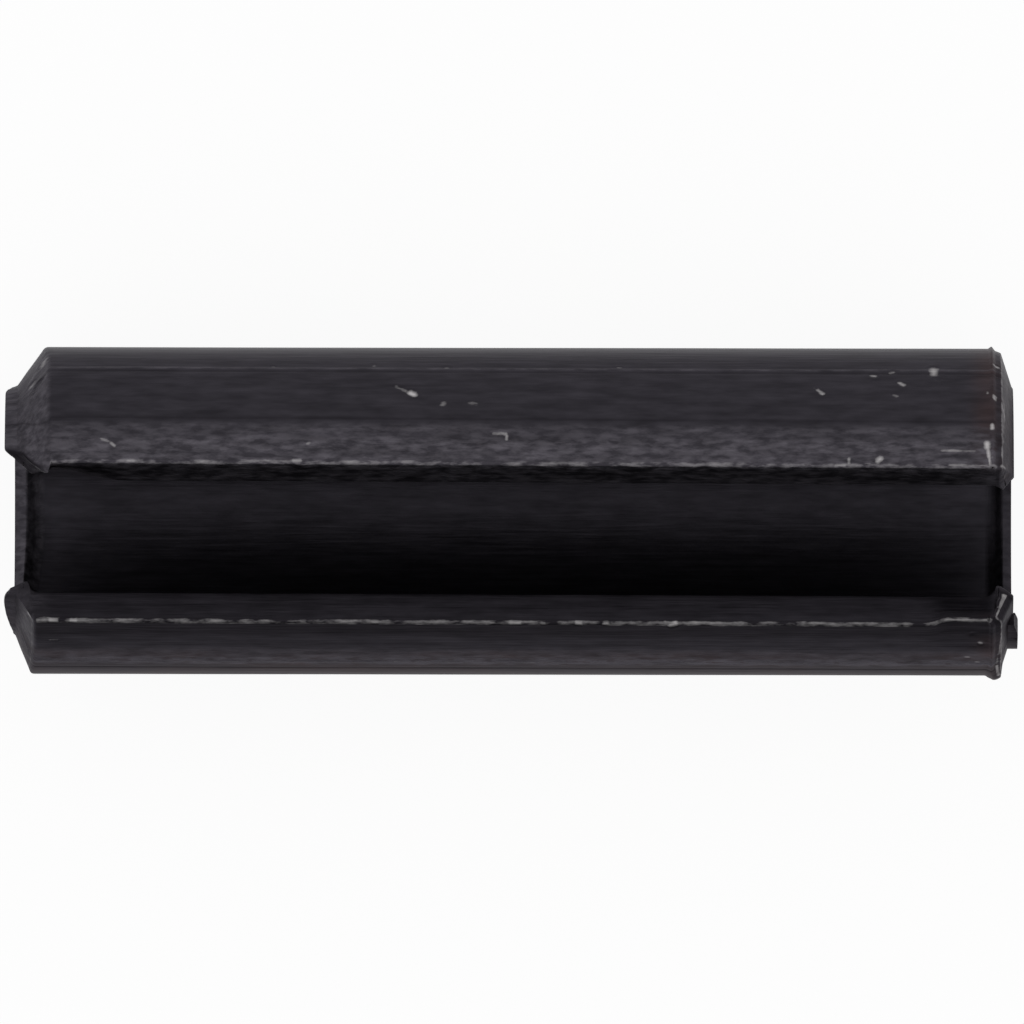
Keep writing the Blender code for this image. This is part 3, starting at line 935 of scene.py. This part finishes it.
def worn_edges_and_reflection(place, spot):
    """How bare the steel is on the lips' edges, the ring of burr and the fine ridges, with a
    painted reflection of the floor along the ridge low on the right side.
    """
    edge = near_lip(place, WORN_EDGE_REACH) * (1 - smooth_step(place.depth, *WORN_EDGE_FADE))
    edge *= (LEFT_EDGE_BARE if place.side > 0 else RIGHT_EDGE_BARE) * (1 - spot.lead_cone)
    ring = 0.35 * smooth_step(-place.depth, BURR_HEIGHT * 0.4, BURR_HEIGHT)
    # A painted reflection of the floor in a streak low on the right side
    painted_reflection = strength_in(FLOOR_REFLECTION_STREAK, spot.degrees) * spot.outside
    ridge = strength_in(WORN_RIDGE, place.across / MM) * spot.outside if place.side > 0 else 0
    return max(edge, ring, painted_reflection, ridge)


def pale_ends_and_highlight(vert, place, spot, sizes):
    """How pale the steel is on the shoulders, the blunt chamfer and the right lip's tip: a painted
    highlight on the right side of the lead shoulder, paler bands at the blunt shoulder and across
    the blunt chamfer, and bare steel at the right lip's tip.
    """
    x = vert.co.x
    shoulders = 0.55 * band(x, sizes.blunt_x - sizes.blunt_length, 0.03 * MM) * spot.outside
    lip_end = 0
    if place.side < 0:
        # Painted highlight where the right side of the lead shoulder catches the light
        lead_shoulder_highlight = band(x, sizes.lead_x + 0.35 * MM, 0.06 * MM) * spot.outside
        shoulders = max(0.42 * lead_shoulder_highlight, shoulders)
        lip_end = 0.66 * spot.blunt_cone * near_lip(place, WORN_TIP_REACH)
        lip_end *= band(place.skin / MM, 0, 0.045)
    chamfer = band(x, sizes.blunt_x - 0.13 * MM, 0.035 * MM)
    chamfer *= band(spot.degrees, *PALE_CHAMFER_ARC)
    return max(shoulders, max(lip_end, 0.6 * chamfer) * spot.outside)


def note_finish(vert, place, angle, layers, sizes):
    """Note how rough, matt, brown and bare the finish is at a point, and how far painted shade
    darkens it; the rough and bare layers also hold painted highlights and a painted reflection.
    """
    spot = find_spot(vert, place, angle, sizes)
    lower_wall = smooth_step(-spot.degrees, *LOWER_WALL) * spot.outside
    browned = 0.75 * lower_wall * (1 - 0.65 * smooth_step(-spot.degrees, *BROWN_FADE))
    brown_end = smooth_step(vert.co.x, *BROWN_END) * spot.outside
    bore = smooth_step(place.depth, *BORE_FADE)
    vert[layers["rough"]] = roughness_and_sheen_at(place, spot)
    # Painted shade, with darker oxide on the cones
    vert[layers["smooth"]] = shade_and_dark_oxide_at(vert, place, spot, sizes)
    vert[layers["brown"]] = max(browned, brown_end)
    vert[layers["matt"]] = max(0.45 * bore, 0.7 * lower_wall)
    vert[layers["bare"]] = max(worn_edges_and_reflection(place, spot), pale_ends_and_highlight(vert, place, spot, sizes))


def band(value, middle, half):
    """1 in the middle of a band, falling to 0 at its sides."""
    return 1 - smooth_step(abs(value - middle), 0, half)


def strength_in(item, value):
    """Strength of a band at a value."""
    return item.strength * band(value, item.middle, item.half)


def near_lip(place, reach):
    """1 on a lip's slot face, falling to 0 at a reach from its edge."""
    return 1 - smooth_step(place.across, reach / 2, reach)


def mark_gap(mark, x, across):
    """Distance from a mark's middle line on the unrolled strip, in its own half widths."""
    turn = math.radians(mark.turn)
    past_x = x / MM - mark.x
    past_lip = across / MM - mark.across
    along = past_x * math.cos(turn) + past_lip * math.sin(turn)
    aside = past_lip * math.cos(turn) - past_x * math.sin(turn)
    return math.hypot(max(abs(along) - mark.length / 2, 0), aside) / mark.width


def marks_by(vert, place):
    """Marks that reach a point of the skin."""
    if place.skin > MARK_SKIN:
        return []
    x = vert.co.x / MM
    return [
        mark
        for mark in MARKS
        if mark.side == place.side
        and abs(x - mark.x) < mark.length / 2 + mark.width * MARK_REACH
    ]


def refine_marks(mesh, sizes):
    """Cut the facets finer round each dent and scratch."""
    close = set()
    for vert in mesh.verts:
        place = find_place(vert.co, sizes)
        for mark in marks_by(vert, place):
            reach = BARE_FADE[1] + MARK_MARGIN / mark.width
            if mark_gap(mark, vert.co.x, place.across) < reach:
                close.add(vert)
    edges = [
        edge
        for edge in mesh.edges
        if edge.verts[0] in close and edge.verts[1] in close and edge.calc_length() > MARK_FACET
    ]
    bmesh.ops.subdivide_edges(mesh, edges=edges, cuts=3, use_grid_fill=True)


def press_marks(vert, place, layers):
    """Press the dents and scratches in, with the metal they throw up beside them."""
    for mark in marks_by(vert, place):
        gap = mark_gap(mark, vert.co.x, place.across)
        pressed = max(1 - gap * gap, 0) - RAISED_SHARE * band(gap, *RAISED_BAND)
        vert.co -= place.outward * (mark.depth * MM * pressed)
        bare = mark.bare * (1 - smooth_step(gap, *BARE_FADE))
        vert[layers["bare"]] = max(vert[layers["bare"]], bare)


def draw_lines(vert, place, angle):
    """Raise the fine ridges and sink the creases that rolling leaves along the wall."""
    degrees = math.degrees(angle)
    if place.depth < MARK_SKIN:
        rise = sum(strength_in(item, degrees) for item in WALL_LINES)
        vert.co += place.outward * (rise * MM)


def rolled_pin_mesh(sizes):
    """Roll the strip, shape and wear it, and lay it on its back."""
    mesh = bmesh.new()
    draw_section(mesh, sizes)
    set_at_lip(mesh, sizes)
    round_slot_face(mesh, sizes)
    outline = [edge for edge in mesh.edges if edge.is_boundary]
    rolled = extend_flat(mesh, outline, sizes)
    roll_half(mesh, rolled, sizes)
    bmesh.ops.mirror(mesh, geom=whole_geometry(mesh.faces), axis="Y", merge_dist=1e-7)
    bmesh.ops.recalc_face_normals(mesh, faces=mesh.faces)
    raise_tab(mesh, sizes)
    refine_marks(mesh, sizes)
    layers = {name: mesh.verts.layers.float.new(name) for name in FINISH_LAYERS}
    for vert in mesh.verts:
        angle = math.atan2(vert.co.y, vert.co.z)
        place = find_place(vert.co, sizes)
        note_finish(vert, place, angle, layers, sizes)
        roughen(vert, place, sizes)
        draw_lines(vert, place, angle)
        press_marks(vert, place, layers)
        round_lip_tip(vert, place, sizes)
        break_lip_corner(vert, place, sizes)
        fade_burr(vert, place, angle, sizes)
        swell_bead(vert, place, angle, sizes)
        creep_lip(vert, place, sizes)
        undercut_corner(vert, place, angle, sizes)
        shape_lead_end(vert, angle, sizes)
        skew_slot(vert, angle, sizes)
    bmesh.ops.translate(mesh, verts=mesh.verts, vec=(0, 0, sizes.axis_height))
    for vert in mesh.verts:
        vert.co.z = max(vert.co.z, 0)
    bmesh.ops.recalc_face_normals(mesh, faces=mesh.faces)
    return mesh


def add_node(tree, kind, inputs, output=None, **settings):
    """Add a node with its settings and inputs, and return the output asked for, or its first."""
    item = tree.nodes.new(kind)
    for name, value in settings.items():
        setattr(item, name, value)
    sockets = [socket for socket in item.inputs if socket.enabled]
    for key, value in inputs.items():
        by_name = [socket for socket in sockets if socket.name == key]
        socket = by_name[0] if by_name else sockets[key]
        if isinstance(value, bpy.types.NodeSocket):
            tree.links.new(value, socket)
        else:
            socket.default_value = value
    outputs = {socket.name: socket for socket in item.outputs if socket.enabled}
    return outputs[output] if output else next(iter(outputs.values()))


def blackened_drawn_steel(finish):
    """Cold-drawn spring steel with a black oxide finish.

    The oxide is a dark metal skin with a half gloss, so it shows the room's light as broad
    soft bands and turns pale only at a glancing view. Drawing lines run along the pin, the
    lips are rough and greyer, and bare steel shows bright where the skin has worn through.
    A darker colour paints shade on the right lip's flat, the slot faces and in the creases,
    and the paler oxide and the steel colour paint highlights on a ridge and the lead shoulder
    and a reflection of the floor low on the right side.
    """
    material = bpy.data.materials.new("blackened_drawn_spring_steel")
    material.use_nodes = True
    tree = material.node_tree
    shader = tree.nodes["Principled BSDF"]
    shader.inputs["Metallic"].default_value = 1.0
    shader.inputs["Specular Tint"].default_value = (*linear("#cecdcf"), 1)
    place = add_node(tree, "ShaderNodeTexCoord", {}, "Object")
    rough, smooth, matt, brown, bare = [
        add_node(tree, "ShaderNodeAttribute", {}, "Fac", attribute_name=name)
        for name in FINISH_LAYERS
    ]

    grains = {}
    for name, length, width, detail in GRAINS:
        scale = (1 / length, 1 / width, 1 / width)
        drawn = add_node(tree, "ShaderNodeMapping", {"Vector": place, "Scale": scale})
        inputs = {"Vector": drawn, "Scale": 1.0, "Detail": detail, "Roughness": 0.6}
        grains[name] = add_node(tree, "ShaderNodeTexNoise", inputs)

    warmth = {"Value": grains["clouds"], "From Min": 0.40, "From Max": 0.65, "To Min": 0.35}
    warm = add_node(tree, "ShaderNodeMapRange", warmth)
    browned = add_node(tree, "ShaderNodeMath", {0: brown, 1: warm}, operation="MULTIPLY")
    blotches = {"Value": grains["blotches"], "From Min": 0.38, "From Max": 0.62, "To Min": 0.15}
    patchy = add_node(tree, "ShaderNodeMapRange", blotches)
    rough_and_sheen_share = add_node(tree, "ShaderNodeMath", {0: rough, 1: patchy}, operation="MULTIPLY")
    coated = (*finish.oxide_colour, 1)
    # The darker colour paints shade, and the rough oxide's paler colour also paints a highlight and
    # a reflection
    for share, colour in (
        (browned, finish.tempered_colour),
        (rough_and_sheen_share, finish.scale_and_sheen_colour),
        (smooth, finish.shade_and_dark_oxide_colour),
    ):
        coat = {"Factor": share, "A": coated, "B": (*colour, 1)}
        coated = add_node(tree, "ShaderNodeMix", coat, data_type="RGBA")
    gains = []
    for name, least, most in (("lines", 0.9, 1.1), ("stains", 0.78, 1.22)):
        inputs = {"Value": grains[name], "From Min": 0.3, "From Max": 0.7}
        inputs.update({"To Min": least, "To Max": most})
        gains.append(add_node(tree, "ShaderNodeMapRange", inputs))
    gain = add_node(tree, "ShaderNodeMath", {0: gains[0], 1: gains[1]}, operation="MULTIPLY")
    shade = {"Factor": 1.0, "A": coated, "B": gain}
    lined = add_node(tree, "ShaderNodeMix", shade, data_type="RGBA", blend_type="MULTIPLY")
    wear = {0: grains["blotches"], 1: 0.7, 2: bare}
    worn_thin = add_node(tree, "ShaderNodeMath", wear, operation="MULTIPLY_ADD")
    thinness = {"Value": worn_thin, "From Min": 0.72, "From Max": 1.35}
    bare_share = add_node(tree, "ShaderNodeMapRange", thinness)
    steel = {"Factor": bare_share, "A": lined, "B": (*finish.steel_and_highlight_colour, 1)}
    worn = add_node(tree, "ShaderNodeMix", steel, data_type="RGBA")
    tree.links.new(worn, shader.inputs["Base Color"])
    dullness = {0: matt, 1: 1.2, 2: rough_and_sheen_share}
    dulled = add_node(tree, "ShaderNodeMath", dullness, operation="MULTIPLY_ADD")
    range_of_gloss = {"Value": dulled, "To Min": 0.36, "To Max": 0.50}
    gloss = add_node(tree, "ShaderNodeMapRange", range_of_gloss, clamp=False)
    tree.links.new(gloss, shader.inputs["Roughness"])
    relief = {0: rough_and_sheen_share, 1: grains["grit"], 2: grains["lines"]}
    height = add_node(tree, "ShaderNodeMath", relief, operation="MULTIPLY_ADD")
    surface = {"Strength": 1.0, "Distance": finish.relief, "Height": height}
    bump = add_node(tree, "ShaderNodeBump", surface)
    tree.links.new(bump, shader.inputs["Normal"])
    return material


def pale_surface(name, colour, strength):
    """Matt pale board that a lens and shiny metal see near white, with its shadows kept."""
    material = bpy.data.materials.new(name)
    material.use_nodes = True
    tree = material.node_tree
    shader = tree.nodes["Principled BSDF"]
    shader.inputs["Base Color"].default_value = (*colour, 1)
    shader.inputs["Roughness"].default_value = 0.9
    shader.inputs["Specular IOR Level"].default_value = 0.0
    glow = add_node(tree, "ShaderNodeEmission", {"Color": (1, 1, 1, 1), "Strength": 1.0})
    seen = seen_directly(tree)
    share = add_node(tree, "ShaderNodeMath", {0: seen, 1: strength}, operation="MULTIPLY")
    board = {0: share, 1: shader.outputs["BSDF"], 2: glow}
    mixed = add_node(tree, "ShaderNodeMixShader", board)
    tree.links.new(mixed, tree.nodes["Material Output"].inputs["Surface"])
    return material


def seen_directly(tree):
    """1 for rays from the lens, off gloss and through glass, and 0 for other rays."""
    path = tree.nodes.new("ShaderNodeLightPath")
    seen = path.outputs["Is Camera Ray"]
    for kind in ("Is Glossy Ray", "Is Transmission Ray"):
        either = {0: seen, 1: path.outputs[kind]}
        seen = add_node(tree, "ShaderNodeMath", either, operation="MAXIMUM")
    return seen


def studio_room():
    """Soft room light, full overhead and on the left lip's side, and dim low on the other."""
    world = bpy.data.worlds.new("studio_room")
    world.use_nodes = True
    tree = world.node_tree
    background = tree.nodes["Background"]
    background.inputs["Color"].default_value = (1, 1, 1, 1)
    direction = add_node(tree, "ShaderNodeTexCoord", {}, "Generated")
    sides = {0: direction, 1: ROOM_BRIGHT_SIDE}
    facing = add_node(tree, "ShaderNodeVectorMath", sides, "Value", operation="DOT_PRODUCT")
    light = {"Value": facing, "From Min": -0.6, "From Max": 0.4}
    light.update({"To Min": ROOM_DIM, "To Max": ROOM_LIGHT})
    level = add_node(tree, "ShaderNodeMapRange", light, interpolation_type="SMOOTHSTEP")
    tree.links.new(level, background.inputs["Strength"])
    return world


class SPRINGPIN_OT_roll_pin(bpy.types.Operator):
    """Roll the slotted spring pin from its strip, with its finish"""

    bl_idname = "springpin.roll_pin"
    bl_label = "Roll the pin"

    def execute(self, context):
        sizes = context.scene.pin_sizes
        mesh = rolled_pin_mesh(sizes)
        data = bpy.data.meshes.new("rolled_steel_pin")
        mesh.to_mesh(data)
        mesh.free()
        data.shade_smooth()
        data.set_sharp_from_angle(angle=SHARP_ANGLE)
        data.materials.append(blackened_drawn_steel(context.scene.pin_finish))
        pin = bpy.data.objects.new("rolled_steel_pin", data)
        context.collection.objects.link(pin)
        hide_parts(NODE)
        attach(pin, BODY)
        return {"FINISHED"}


class SPRINGPIN_OT_set_stage(bpy.types.Operator):
    """Lay the floor, hang the lamp and place the camera"""

    bl_idname = "springpin.set_stage"
    bl_label = "Set the stage"

    def execute(self, context):
        settings = context.scene.stage_settings
        sizes = context.scene.pin_sizes
        mesh = bmesh.new()
        bmesh.ops.create_grid(mesh, x_segments=1, y_segments=1, size=1.5)
        data = bpy.data.meshes.new("floor")
        mesh.to_mesh(data)
        mesh.free()
        floor = bpy.data.objects.new("floor", data)
        context.collection.objects.link(floor)
        data.materials.append(pale_surface("matt_white_board", settings.floor_colour, FLOOR_GLOW))
        context.scene.world = studio_room()
        hang_lamp(context, settings, sizes)
        place_camera(context, settings, sizes)
        context.scene.view_settings.view_transform = "Standard"
        return {"FINISHED"}


def hang_lamp(context, settings, sizes):
    """Hang one large soft lamp above the left lip's side."""
    lamp = bpy.data.lights.new("soft_lamp", "AREA")
    lamp.shape = "RECTANGLE"
    lamp.size = LAMP_SIZE[0]
    lamp.size_y = LAMP_SIZE[1]
    lamp.energy = settings.lamp_power
    item = bpy.data.objects.new("soft_lamp", lamp)
    item.location = LAMP_PLACE
    aim = Vector((0, 0, sizes.axis_height)) - Vector(LAMP_PLACE)
    item.rotation_euler = aim.to_track_quat("-Z", "Y").to_euler()
    context.collection.objects.link(item)


def place_camera(context, settings, sizes):
    """Place the camera above the pin, leaning towards the left lip."""
    camera = bpy.data.cameras.new("camera")
    camera.lens = 1500
    camera.sensor_width = 36
    distance = settings.frame_width * camera.lens / camera.sensor_width
    camera.clip_start = distance * 0.1
    camera.clip_end = distance * 10
    item = bpy.data.objects.new("camera", camera)
    lean = Matrix.Rotation(-settings.camera_lean, 4, "X")
    aside = lean @ Vector((*CAMERA_AIM, distance))
    item.location = Vector((0, 0, sizes.axis_height)) + aside
    item.rotation_euler = (lean @ Matrix.Rotation(CAMERA_ROLL, 4, "Z")).to_euler()
    context.collection.objects.link(item)
    context.scene.camera = item


class VIEW3D_PT_spring_pin(bpy.types.Panel):
    """Sizes, finish and stage of the spring pin"""

    bl_idname = "VIEW3D_PT_spring_pin"
    bl_label = "Spring pin"
    bl_space_type = "VIEW_3D"
    bl_region_type = "UI"
    bl_category = "Spring pin"

    def draw(self, context):
        scene = context.scene
        pin_box = self.layout.box()
        for settings in (scene.pin_sizes, scene.pin_finish):
            for name in settings.__annotations__:
                pin_box.prop(settings, name)
        pin_box.operator(SPRINGPIN_OT_roll_pin.bl_idname)
        stage_box = self.layout.box()
        for name in scene.stage_settings.__annotations__:
            stage_box.prop(scene.stage_settings, name)
        stage_box.operator(SPRINGPIN_OT_set_stage.bl_idname)


CLASSES = (
    PinSizes,
    PinFinish,
    StageSettings,
    SPRINGPIN_OT_roll_pin,
    SPRINGPIN_OT_set_stage,
    VIEW3D_PT_spring_pin,
)


def register():
    for item in CLASSES:
        bpy.utils.register_class(item)
    bpy.types.Scene.pin_sizes = PointerProperty(type=PinSizes)
    bpy.types.Scene.pin_finish = PointerProperty(type=PinFinish)
    bpy.types.Scene.stage_settings = PointerProperty(type=StageSettings)


def unregister():
    del bpy.types.Scene.stage_settings
    del bpy.types.Scene.pin_finish
    del bpy.types.Scene.pin_sizes
    for item in reversed(CLASSES):
        bpy.utils.unregister_class(item)


def main():
    register()
    bpy.ops.springpin.roll_pin()
    bpy.ops.springpin.set_stage()


if __name__ == "__main__":
    main()
